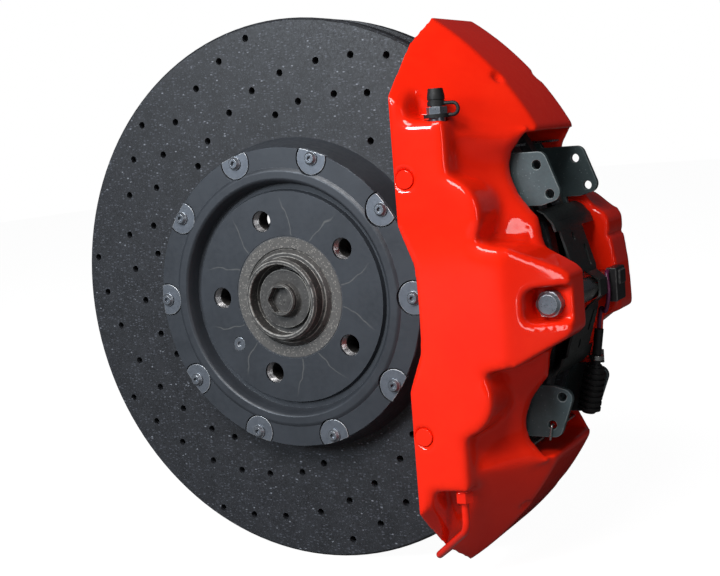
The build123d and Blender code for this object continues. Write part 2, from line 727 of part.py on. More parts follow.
# ---- bleed screws, caps and crossover pipe -------------------------------------------------------
def bent_line(points, radius):
    """Straight runs joined by arcs of one radius."""
    points = [Vector(*point) for point in points]
    start = points[0]
    with BuildLine() as route:
        for before, corner, after in zip(points, points[1:], points[2:]):
            back, ahead = (before - corner).normalized(), (after - corner).normalized()
            half = radians(back.get_angle(ahead)) / 2
            first = corner + back * (radius / tan(half))
            last = corner + ahead * (radius / tan(half))
            middle = corner + (back + ahead).normalized() * (radius / sin(half) - radius)
            Line(start, first)
            ThreePointArc(first, middle, last)
            start = last
        Line(start, points[-1])
    return route.line


def bleed_screw():
    """Bleed screw with a hexagon and a drilled nipple."""
    with BuildPart() as screw:
        with Locations((BLEED_X, BLEED_Y, LEDGE_Z + 0.4)):
            Cylinder(4.95, 15, align=(Align.CENTER, Align.CENTER, Align.MAX))
            Cylinder(3.7, 14.4, align=(Align.CENTER, Align.CENTER, Align.MIN))
        with BuildSketch(Plane.XY.offset(LEDGE_Z + 0.4)):
            with Locations((BLEED_X, BLEED_Y)):
                RegularPolygon(5.5 / cos(radians(30)), 6, rotation=12)
        extrude(amount=6.0)
        with Locations((BLEED_X, BLEED_Y, LEDGE_Z + 15)):
            Hole(1.0, depth=24)
    return screw.part


def bleed_cap():
    """Rubber cap with grip grooves, tied by a looped strap to a ring under the hexagon."""
    cap_z = LEDGE_Z + 6.8
    with BuildPart() as cap:
        with BuildSketch(Plane.XZ) as profile:
            with BuildLine():
                Polyline(
                    (4.0, cap_z), (5.4, cap_z), (5.4, cap_z + 2.6), (4.9, cap_z + 2.9), (4.9, cap_z + 3.6),
                    (5.3, cap_z + 4.0), (5.2, cap_z + 6.2), (4.4, cap_z + 10.4), (0, cap_z + 10.4),
                    (0, cap_z + 8.6), (4.0, cap_z + 8.6), close=True,
                )
            make_face()
        revolve(axis=Axis.Z)
        with BuildSketch(Plane.XY.offset(LEDGE_Z)):
            Circle(8.0)
            Circle(6.7, mode=Mode.SUBTRACT)
        extrude(amount=2.2)
        with BuildLine() as loop:
            Line((4.8, 0, cap_z + 1.4), (10.4, 0, cap_z + 1.4))
            ThreePointArc((10.4, 0, cap_z + 1.4), (13.9, 0, LEDGE_Z + 4.7), (10.4, 0, LEDGE_Z + 1.2))
            Line((10.4, 0, LEDGE_Z + 1.2), (7.4, 0, LEDGE_Z + 1.2))
        with BuildSketch(Plane(origin=loop.line @ 0, z_dir=(1, 0, 0))):
            Circle(1.1)
        sweep(path=loop.line)
    return cap.part.moved(Location((BLEED_X, BLEED_Y, 0)))


screw_out = bleed_screw()
cap_out = bleed_cap()
with BuildPart() as outboard_bleed_screw:
    add(screw_out)
with BuildPart() as inboard_bleed_screw:
    add(across(screw_out))
with BuildPart() as outboard_bleed_cap:
    add(cap_out)
with BuildPart() as inboard_bleed_cap:
    add(across(cap_out))

PIPE_R = 2.4
FAR_Y = 2 * MID_Y - BLEED_Y
PIPE_ROUTE = (
    (BLEED_X, BLEED_Y, -116.0), (BLEED_X, BLEED_Y, -139.0), (108.0, -15.5, -169.5),
    (108.0, 83.5, -169.5), (BLEED_X, FAR_Y, -139.0), (BLEED_X, FAR_Y, -116.0),
)
with BuildPart() as crossover_pipe:
    pipe_line = bent_line(PIPE_ROUTE, 11)
    with BuildSketch(Plane(origin=PIPE_ROUTE[0], z_dir=(0, 0, -1))):
        Circle(PIPE_R)
        Circle(PIPE_R - 0.8, mode=Mode.SUBTRACT)
    sweep(path=pipe_line)

with BuildPart() as pipe_nuts:
    for nut_y in (BLEED_Y, FAR_Y):
        with BuildSketch(Plane.XY.offset(-LEDGE_Z)):
            with Locations((BLEED_X, nut_y)):
                RegularPolygon(5.0 / cos(radians(30)), 6)
        extrude(amount=-6.5)
        with BuildSketch(Plane.XY.offset(-LEDGE_Z)):
            with Locations((BLEED_X, nut_y)):
                Circle(4.9)
        extrude(amount=10)
        with BuildSketch(Plane.XY.offset(-LEDGE_Z - 6.5)):
            with Locations((BLEED_X, nut_y)):
                Circle(PIPE_R + 0.05)
        extrude(amount=20, mode=Mode.SUBTRACT)

# ---- wear sensor lead ----------------------------------------------------------------------------
INBOARD_WALL_Y = 2 * MID_Y - WALL_Y
with BuildPart() as sensor_connector:
    with BuildSketch(Plane.XZ.offset(-INBOARD_WALL_Y)):
        with Locations((212.0, -1.5)):
            RectangleRounded(7.2, 22, 1.2)
    extrude(amount=18.0)
    with BuildSketch(Plane.XZ.offset(-INBOARD_WALL_Y + 2)):
        with Locations((216.0, 3.0)):
            Rectangle(1.8, 9)
    extrude(amount=12)

LEAD_R = 1.4
LEAD_END = (201.0, 58.0, -30.0)
with BuildPart() as sensor_lead:
    with BuildLine() as lead_line:
        Spline(
            (210.0, 55.0, 7.5), (210.6, 50.8, 3.5), (211.3, 50.0, -6.0), (208.0, 51.0, -18.0), LEAD_END,
            tangents=((0, -1, 0), (-0.14, 0.1, -1)),
        )
    with BuildSketch(Plane(origin=lead_line.line @ 0, z_dir=lead_line.line % 0)):
        Circle(LEAD_R)
    sweep(path=lead_line.line)

NECK_TOP = (201.0, 58.0, -30.9)
BOOT_TOP = (197.5, 58.0, -54.5)
BOOT_END = (190.7, 58.0, -86.0)
BOOT_R = 7.6
BOOT_RIBS = 8
RIB_PITCH = 3.9
neck_plane = Plane(origin=NECK_TOP, z_dir=tuple(b - a for a, b in zip(NECK_TOP, BOOT_TOP)))
boot_plane = Plane(origin=BOOT_TOP, z_dir=tuple(b - a for a, b in zip(BOOT_TOP, BOOT_END)))
with BuildPart() as sensor_boot:
    with BuildSketch(neck_plane):
        Circle(3.0)
    extrude(amount=26.5)
    with BuildSketch(boot_plane):
        Circle(4.0)
    with BuildSketch(boot_plane.offset(4.5)):
        Circle(BOOT_R - 1.4)
    loft()
    with BuildSketch(boot_plane.offset(4.5)):
        Circle(BOOT_R - 1.4)
    extrude(amount=26.5)
    for rib in range(BOOT_RIBS):
        with BuildSketch(boot_plane.offset(1.6 + rib * RIB_PITCH)):
            Circle(BOOT_R - (1.6 if rib == 0 else 0))
        extrude(amount=RIB_PITCH * 0.55)
    with BuildSketch(boot_plane.offset(31.0)):
        Circle(BOOT_R - 1.4)
    with BuildSketch(boot_plane.offset(33.5)):
        Circle(BOOT_R - 3.4)
    loft()

with BuildPart() as boot_bracket:
    with BuildSketch(neck_plane.offset(17.5)):
        Circle(4.4)
        Circle(3.0, mode=Mode.SUBTRACT)
    extrude(amount=3.2)
    with Locations((194.0, INBOARD_WALL_Y, -47.3)):
        Box(9, 11.6, 2.4, align=(Align.CENTER, Align.MAX, Align.MAX))
        Box(9, 1.6, 9, align=(Align.CENTER, Align.MAX, Align.MAX))
    with BuildSketch(neck_plane.offset(10)):
        Circle(3.0)
    extrude(amount=20, mode=Mode.SUBTRACT)

WIRE_ROUTE = ((188.0, -1.0, -81.0), (188.0, -4.0, -81.0), (186.3, -4.0, -90.5))
with BuildPart() as wire_clip:
    wire_line = bent_line(WIRE_ROUTE, 1.5)
    with BuildSketch(Plane(origin=WIRE_ROUTE[0], z_dir=wire_line % 0)):
        Circle(0.7)
    sweep(path=wire_line)

PIECES = {
    "friction_ring": friction_ring,
    "disc_bell": disc_bell,
    "bell_washers": bell_washers,
    "bell_bolts": bell_bolts,
    "bell_bushes": bell_bushes,
    "bell_nuts": bell_nuts,
    "disc_retaining_screw": disc_retaining_screw,
    "wheel_hub": wheel_hub,
    "axle_bolt": axle_bolt,
    "axle_bolt_washer": axle_bolt_washer,
    "bearing_inner_races": bearing_inner_races,
    "bearing_outer_ring": bearing_outer_ring,
    "bearing_seals": bearing_seals,
    "bearing_balls": bearing_balls,
    "bearing_cages": bearing_cages,
    "caliper_body": caliper_body,
    "blanking_plugs": blanking_plugs,
    "outboard_backplate": outboard_backplate,
    "outboard_friction_pad": outboard_friction_pad,
    "outboard_shim": outboard_shim,
    "outboard_pistons": outboard_pistons,
    "inboard_backplate": inboard_backplate,
    "inboard_friction_pad": inboard_friction_pad,
    "inboard_shim": inboard_shim,
    "inboard_pistons": inboard_pistons,
    "piston_seals": piston_seals,
    "dust_boots": dust_boots,
    "abutment_plates": abutment_plates,
    "bridge_bolt": bridge_bolt,
    "bridge_sleeve": bridge_sleeve,
    "pad_spring": pad_spring,
    "outboard_bleed_screw": outboard_bleed_screw,
    "inboard_bleed_screw": inboard_bleed_screw,
    "outboard_bleed_cap": outboard_bleed_cap,
    "inboard_bleed_cap": inboard_bleed_cap,
    "crossover_pipe": crossover_pipe,
    "pipe_nuts": pipe_nuts,
    "sensor_connector": sensor_connector,
    "sensor_lead": sensor_lead,
    "sensor_boot": sensor_boot,
    "boot_bracket": boot_bracket,
    "wire_clip": wire_clip,
}
for name, piece in PIECES.items():
    piece.part.label = name
    export_step(piece.part, f"parts/{name}.step")
    print(name, round(piece.part.volume), len(piece.part.solids()))
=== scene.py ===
import bmesh
import bpy
import json
from math import cos, pi, radians, sin, sqrt
from mathutils import Matrix, Vector


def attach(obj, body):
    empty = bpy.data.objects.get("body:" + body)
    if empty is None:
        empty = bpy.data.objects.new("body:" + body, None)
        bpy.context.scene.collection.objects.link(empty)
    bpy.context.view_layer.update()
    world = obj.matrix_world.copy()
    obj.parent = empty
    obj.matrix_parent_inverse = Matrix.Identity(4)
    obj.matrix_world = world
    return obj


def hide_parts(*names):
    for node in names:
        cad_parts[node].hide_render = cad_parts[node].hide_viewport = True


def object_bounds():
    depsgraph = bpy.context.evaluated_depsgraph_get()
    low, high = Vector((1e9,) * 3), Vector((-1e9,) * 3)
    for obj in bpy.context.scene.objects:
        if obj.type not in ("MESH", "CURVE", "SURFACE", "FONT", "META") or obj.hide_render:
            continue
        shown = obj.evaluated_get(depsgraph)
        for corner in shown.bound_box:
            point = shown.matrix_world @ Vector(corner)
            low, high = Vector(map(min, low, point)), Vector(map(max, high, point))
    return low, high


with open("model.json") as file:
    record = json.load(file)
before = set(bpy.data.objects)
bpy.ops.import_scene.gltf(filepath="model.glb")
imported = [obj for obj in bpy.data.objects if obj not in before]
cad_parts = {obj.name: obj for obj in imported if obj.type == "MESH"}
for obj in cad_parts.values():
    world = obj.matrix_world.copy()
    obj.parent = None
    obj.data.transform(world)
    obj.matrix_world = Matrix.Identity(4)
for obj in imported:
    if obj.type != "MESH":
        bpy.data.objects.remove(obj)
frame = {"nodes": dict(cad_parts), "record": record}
cad_low, cad_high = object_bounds()
nodes = frame["nodes"]
body_of_node = {n: b for b, members in frame["record"]["behaviour"]["bodies"].items() for n in members}
slot_of_node = {s["node"]: s["material_slot"] for s in frame["record"]["subparts"]}

MM = 0.001
MID_Y = 34 * MM
WHEEL_HOLES = 5
WHEEL_HOLE_CIRCLE = 56 * MM
FIRST_WHEEL_HOLE = 36
scene = bpy.context.scene

# ---- camera --------------------------------------------------------------------------------------
camera_data = bpy.data.cameras.new("camera")
camera_data.lens = 62.69
camera_data.sensor_width = 36.0
camera_data.clip_start = 0.01
camera = bpy.data.objects.new("camera", camera_data)
scene.collection.objects.link(camera)
camera.location = (0.4661, -0.7233, 0.1103)
# columns: the camera's right, its up, and the way back from what it looks at
camera.rotation_euler = Matrix((
    (0.8724, 0.0092, 0.4886),
    (0.4821, 0.1477, -0.8636),
    (-0.0801, 0.9890, 0.1244),
)).to_euler()
scene.camera = camera


# ---- shader groups -------------------------------------------------------------------------------
def shader_group(name, inputs, outputs):
    """An empty shader group with float or vector inputs and float outputs."""
    tree = bpy.data.node_groups.new(name, "ShaderNodeTree")
    for label, value in inputs.items():
        kind = "NodeSocketVector" if value is None else "NodeSocketFloat"
        socket = tree.interface.new_socket(label, in_out="INPUT", socket_type=kind)
        if value is not None:
            socket.default_value = value
    for label in outputs:
        tree.interface.new_socket(label, in_out="OUTPUT", socket_type="NodeSocketFloat")
    return tree, tree.nodes.new("NodeGroupInput"), tree.nodes.new("NodeGroupOutput")


def math_node(tree, operation, *values):
    """A Math node fed by sockets or plain numbers; gives its output socket."""
    node = tree.nodes.new("ShaderNodeMath")
    node.operation = operation
    for socket, value in zip(node.inputs, values):
        if isinstance(value, (int, float)):
            socket.default_value = value
        else:
            tree.links.new(value, socket)
    return node.outputs[0]


def vector_node(tree, operation, *values):
    """A Vector Math node fed by sockets or plain vectors."""
    node = tree.nodes.new("ShaderNodeVectorMath")
    node.operation = operation
    for socket, value in zip(node.inputs, values):
        if isinstance(value, tuple):
            socket.default_value = value
        else:
            tree.links.new(value, socket)
    return node.outputs[1] if operation == "LENGTH" else node.outputs[0]


def soft_step(tree, value, low, high):
    """0 below low, 1 above high, smooth between."""
    node = tree.nodes.new("ShaderNodeMapRange")
    node.interpolation_type = "SMOOTHSTEP"
    tree.links.new(value, node.inputs["Value"])
    for label, number in (("From Min", low), ("From Max", high)):
        if isinstance(number, (int, float)):
            node.inputs[label].default_value = number
        else:
            tree.links.new(number, node.inputs[label])
    return node.outputs["Result"]


def noise_node(tree, vector, scale, detail, roughness=0.55, distortion=0.0):
    """A Noise Texture; its scale is a socket or a plain number."""
    node = tree.nodes.new("ShaderNodeTexNoise")
    tree.links.new(vector, node.inputs["Vector"])
    if isinstance(scale, float):
        node.inputs["Scale"].default_value = scale
    else:
        tree.links.new(scale, node.inputs["Scale"])
    for label, value in (("Detail", detail), ("Roughness", roughness), ("Distortion", distortion)):
        node.inputs[label].default_value = value
    return node.outputs["Fac"]


def build_patches():
    """Broad uneven tone, from stains and uneven coating."""
    tree, given, result = shader_group("patches", {"Vector": None, "Size": 0.03, "Contrast": 0.3}, ["Mask"])
    scale = math_node(tree, "DIVIDE", 1.0, given.outputs["Size"])
    noise = noise_node(tree, given.outputs["Vector"], scale, 4.0, 0.6, 0.4)
    low = math_node(tree, "SUBTRACT", 0.5, given.outputs["Contrast"])
    high = math_node(tree, "ADD", 0.5, given.outputs["Contrast"])
    tree.links.new(soft_step(tree, noise, low, high), result.inputs["Mask"])
    return tree


def build_grit():
    """Fine surface relief, such as casting skin, orange peel or bead blast."""
    tree, given, result = shader_group("grit", {"Vector": None, "Size": 0.001}, ["Height"])
    scale = math_node(tree, "DIVIDE", 1.0, given.outputs["Size"])
    noise = noise_node(tree, given.outputs["Vector"], scale, 2.0, 0.5)
    tree.links.new(noise, result.inputs["Height"])
    return tree


def build_specks():
    """Small separate flecks, drawn out along one direction when Stretch is above 1."""
    tree, given, result = shader_group(
        "specks", {"Vector": None, "Size": 0.001, "Share": 0.1, "Stretch": 1.0}, ["Mask", "Tone"]
    )
    squeeze = tree.nodes.new("ShaderNodeCombineXYZ")
    tree.links.new(math_node(tree, "DIVIDE", 1.0, given.outputs["Stretch"]), squeeze.inputs["X"])
    squeeze.inputs["Y"].default_value = 1.0
    squeeze.inputs["Z"].default_value = 1.0
    stretched = vector_node(tree, "MULTIPLY", given.outputs["Vector"], squeeze.outputs[0])
    voronoi = tree.nodes.new("ShaderNodeTexVoronoi")
    tree.links.new(stretched, voronoi.inputs["Vector"])
    tree.links.new(math_node(tree, "DIVIDE", 1.0, given.outputs["Size"]), voronoi.inputs["Scale"])
    tone = tree.nodes.new("ShaderNodeSeparateColor")
    tree.links.new(voronoi.outputs["Color"], tone.inputs["Color"])
    threshold = math_node(tree, "SUBTRACT", 1.0, given.outputs["Share"])
    chosen = math_node(tree, "GREATER_THAN", tone.outputs["Red"], threshold)
    core = math_node(tree, "SUBTRACT", 1.0, soft_step(tree, voronoi.outputs["Distance"], 0.25, 0.5))
    tree.links.new(math_node(tree, "MULTIPLY", chosen, core), result.inputs["Mask"])
    tree.links.new(tone.outputs["Green"], result.inputs["Tone"])
    return tree


def build_turning():
    """Fine concentric lathe lines round the axle axis."""
    tree, given, result = shader_group("turning", {"Vector": None, "Pitch": 0.0006}, ["Height"])
    flat = vector_node(tree, "MULTIPLY", given.outputs["Vector"], (1.0, 0.0, 1.0))
    radius = vector_node(tree, "LENGTH", flat)
    turns = math_node(tree, "DIVIDE", radius, given.outputs["Pitch"])
    wobble = noise_node(tree, given.outputs["Vector"], 90.0, 2.0)
    phase = math_node(tree, "MULTIPLY_ADD", turns, 2 * pi, math_node(tree, "MULTIPLY", wobble, 0.8))
    wave = math_node(tree, "SINE", phase)
    tree.links.new(math_node(tree, "MULTIPLY_ADD", wave, 0.5, 0.5), result.inputs["Height"])
    return tree


def build_edge_wear_and_highlight():
    """Bright colour along the broken edges, patchy and thin: worn metal together with a painted edge
    highlight.
    """
    tree, given, result = shader_group("edge_wear", {"Vector": None, "Amount": 0.5}, ["Mask"])
    edge = tree.nodes.new("ShaderNodeAttribute")
    edge.attribute_name = "edge"
    noise = noise_node(tree, given.outputs["Vector"], 220.0, 4.0, 0.7)
    worn_and_highlit = math_node(tree, "MULTIPLY", edge.outputs["Fac"], soft_step(tree, noise, 0.34, 0.56))
    tree.links.new(math_node(tree, "MULTIPLY", worn_and_highlit, given.outputs["Amount"]), result.inputs["Mask"])
    return tree


def build_scratches():
    """Sparse hairline scratches in two crossing directions."""
    tree, given, result = shader_group("scratches", {"Vector": None, "Amount": 0.5}, ["Mask"])
    lines = []
    for turn in (0.5, 2.1):
        mapping = tree.nodes.new("ShaderNodeMapping")
        mapping.inputs["Rotation"].default_value = (0.3 * turn, turn, 0.2)
        mapping.inputs["Scale"].default_value = (14.0, 14.0, 900.0)
        tree.links.new(given.outputs["Vector"], mapping.inputs["Vector"])
        noise = noise_node(tree, mapping.outputs[0], 1.0, 2.0)
        lines.append(soft_step(tree, noise, 0.66, 0.72))
    both = math_node(tree, "MAXIMUM", *lines)
    tree.links.new(math_node(tree, "MULTIPLY", both, given.outputs["Amount"]), result.inputs["Mask"])
    return tree


PETAL_TURN = radians(360 / WHEEL_HOLES)
PETAL_SQUASH = 0.55
PETAL_WANDER = 9 * MM
PETAL_FADE = (60 * MM, 71.5 * MM)
PETAL_START = (42.8 * MM, 44 * MM)
CENTRE_EDGE = (41.5 * MM, 42.8 * MM)
FACE_DEPTH = 1 * MM


def build_petals():
    """Thin pale outlines on the bell's face, one petal round each wheel hole, and the scuffed centre ring."""
    tree, given, result = shader_group(
        "petals", {"Vector": None, "Radius": 0.0215, "Width": 0.0003, "Start": float(FIRST_WHEEL_HOLE)},
        ["Mask", "Centre"],
    )

    def calc(operation, *values):
        return math_node(tree, operation, *values)

    vector = given.outputs["Vector"]
    parts = tree.nodes.new("ShaderNodeSeparateXYZ")
    tree.links.new(vector, parts.inputs[0])
    radius = vector_node(tree, "LENGTH", vector_node(tree, "MULTIPLY", vector, (1.0, 0.0, 1.0)))
    angle = calc("ARCTAN2", parts.outputs["Z"], parts.outputs["X"])

    # every hole's sector is folded onto one, centred on its hole
    start = calc("RADIANS", given.outputs["Start"])
    turns = calc("DIVIDE", calc("SUBTRACT", angle, start), PETAL_TURN)
    folded = calc("SUBTRACT", calc("FRACT", calc("ADD", turns, 10.5)), 0.5)
    folded = calc("MULTIPLY", folded, PETAL_TURN)
    along = calc("SUBTRACT", calc("MULTIPLY", radius, calc("COSINE", folded)), WHEEL_HOLE_CIRCLE)
    across = calc("MULTIPLY", radius, calc("SINE", folded))

    # a thin wandering line at one distance from the hole
    spread = calc("MULTIPLY", along, PETAL_SQUASH)
    reach = calc("SQRT", calc("ADD", calc("MULTIPLY", spread, spread), calc("MULTIPLY", across, across)))
    bend = noise_node(tree, vector, 55.0, 2.0, 0.5)
    reach = calc("MULTIPLY_ADD", calc("SUBTRACT", bend, 0.5), PETAL_WANDER, reach)
    off = calc("ABSOLUTE", calc("SUBTRACT", reach, given.outputs["Radius"]))
    line_edge = calc("MULTIPLY", given.outputs["Width"], 2.2)
    line = calc("SUBTRACT", 1.0, soft_step(tree, off, 0.0, line_edge))

    fade = calc("SUBTRACT", 1.0, soft_step(tree, radius, *PETAL_FADE))
    inside = calc("MULTIPLY", soft_step(tree, radius, *PETAL_START), fade)
    patchy = calc("MULTIPLY_ADD", noise_node(tree, vector, 160.0, 2.0), 0.9, 0.25)
    front = calc("LESS_THAN", parts.outputs["Y"], FACE_DEPTH)
    lines = calc("MULTIPLY", calc("MULTIPLY", line, inside), calc("MULTIPLY", front, patchy))
    tree.links.new(lines, result.inputs["Mask"])
    centre = calc("SUBTRACT", 1.0, soft_step(tree, radius, *CENTRE_EDGE))
    tree.links.new(calc("MULTIPLY", centre, front), result.inputs["Centre"])
    return tree


GROUPS = {
    "patches": build_patches(), "grit": build_grit(), "specks": build_specks(), "turning": build_turning(),
    "edge_wear": build_edge_wear_and_highlight(), "scratches": build_scratches(), "petals": build_petals(),
}


def place(tree, group, vector, **values):
    """Puts a shader group in a material, with its own values."""
    node = tree.nodes.new("ShaderNodeGroup")
    node.node_tree = GROUPS[group]
    tree.links.new(vector, node.inputs["Vector"])
    for label, value in values.items():
        node.inputs[label].default_value = value
    return node.outputs


def mix_colour(tree, mask, first, second):
    """first where the mask is 0, second where it is 1."""
    node = tree.nodes.new("ShaderNodeMix")
    node.data_type = "RGBA"
    tree.links.new(mask, node.inputs[0])
    for socket, value in ((node.inputs[6], first), (node.inputs[7], second)):
        if isinstance(value, tuple):
            socket.default_value = (*value, 1.0)
        else:
            tree.links.new(value, socket)
    return node.outputs[2]


def mix_value(tree, mask, first, second):
    """A number that goes from first to second with the mask; a socket is raised by second instead."""
    if isinstance(first, (int, float)):
        return math_node(tree, "MULTIPLY_ADD", mask, second - first, first)
    return math_node(tree, "ADD", first, math_node(tree, "MULTIPLY", mask, second))


FLECK_SCALE = 0.12
FINE_SHARE = 0.35
LATHE_ROUGHER = 0.05
SCUFFED_ROUGHER = 0.3
SCRATCH_ROUGHER = 0.2
SCRATCH_DEPTH = 0.006 * MM


def finish(
    name, dark, light, rough, patch=0.03, metallic=0.0, coat=0.0, coat_rough=0.03, specular=0.5,
    grit=(0.0012, 0.00002), specks=(), turned=None, wear_and_highlight=None, scratches=0.0, petals=None,
):
    """One material: two-tone patches, fine relief, then the flecks, lathe lines, worn edges with their
    painted highlight, and scratches it has.

    dark and light are the two tones; rough is (lowest, highest) roughness; grit is (size, height);
    each of specks is (size, share, stretch, colour); turned is (pitch, height); wear_and_highlight is
    (amount, colour): worn metal and a painted highlight on the broken edges;
    petals is (strength, scuffed centre colour, its flecks, line colour).
    """
    material = bpy.data.materials.new(name)
    material.use_nodes = True
    tree = material.node_tree
    shader = tree.nodes["Principled BSDF"]
    shader.inputs["Metallic"].default_value = metallic
    shader.inputs["Coat Weight"].default_value = coat
    shader.inputs["Coat Roughness"].default_value = coat_rough
    shader.inputs["Specular IOR Level"].default_value = specular
    place_at = tree.nodes.new("ShaderNodeTexCoord").outputs["Object"]
    tone = place(tree, "patches", place_at, Size=patch)["Mask"]
    fine = place(tree, "patches", place_at, Size=patch * FLECK_SCALE, Contrast=0.2)["Mask"]
    colour = mix_colour(tree, tone, dark, light)
    colour = mix_colour(tree, math_node(tree, "MULTIPLY", fine, FINE_SHARE), colour, dark)
    roughness = mix_value(tree, fine, rough[0], rough[1])
    height = math_node(tree, "MULTIPLY", place(tree, "grit", place_at, Size=grit[0])["Height"], grit[1])
    for size, share, stretch, fleck in specks:
        flecks = place(tree, "specks", place_at, Size=size, Share=share, Stretch=stretch)
        strength = math_node(tree, "MULTIPLY", flecks["Mask"], flecks["Tone"])
        colour = mix_colour(tree, strength, colour, fleck)
    if turned:
        lines = place(tree, "turning", place_at, Pitch=turned[0])["Height"]
        height = math_node(tree, "ADD", height, math_node(tree, "MULTIPLY", lines, turned[1]))
        roughness = mix_value(tree, lines, roughness, LATHE_ROUGHER)
    if petals:
        marks = place(tree, "petals", place_at)
        rust = place(tree, "specks", place_at, Size=0.0012, Share=0.45)["Mask"]
        scuffed = mix_colour(tree, rust, petals[1], petals[2])
        colour = mix_colour(tree, marks["Centre"], colour, scuffed)
        roughness = mix_value(tree, marks["Centre"], roughness, SCUFFED_ROUGHER)
        colour = mix_colour(tree, math_node(tree, "MULTIPLY", marks["Mask"], petals[0]), colour, petals[3])
    # worn metal and a painted highlight on the broken edges, laid on in a light colour
    if wear_and_highlight:
        worn_and_highlit = place(tree, "edge_wear", place_at, Amount=wear_and_highlight[0])["Mask"]
        colour = mix_colour(tree, worn_and_highlit, colour, wear_and_highlight[1])
    if scratches:
        marks = place(tree, "scratches", place_at, Amount=scratches)["Mask"]
        roughness = mix_value(tree, marks, roughness, SCRATCH_ROUGHER)
        cut = math_node(tree, "MULTIPLY", marks, SCRATCH_DEPTH)
        height = math_node(tree, "SUBTRACT", height, cut)
    tree.links.new(colour, shader.inputs["Base Color"])
    tree.links.new(roughness, shader.inputs["Roughness"])
    relief = tree.nodes.new("ShaderNodeBump")
    relief.inputs["Distance"].default_value = 1.0
    relief.inputs["Strength"].default_value = 1.0
    tree.links.new(height, relief.inputs["Height"])
    tree.links.new(relief.outputs["Normal"], shader.inputs["Normal"])
    return material
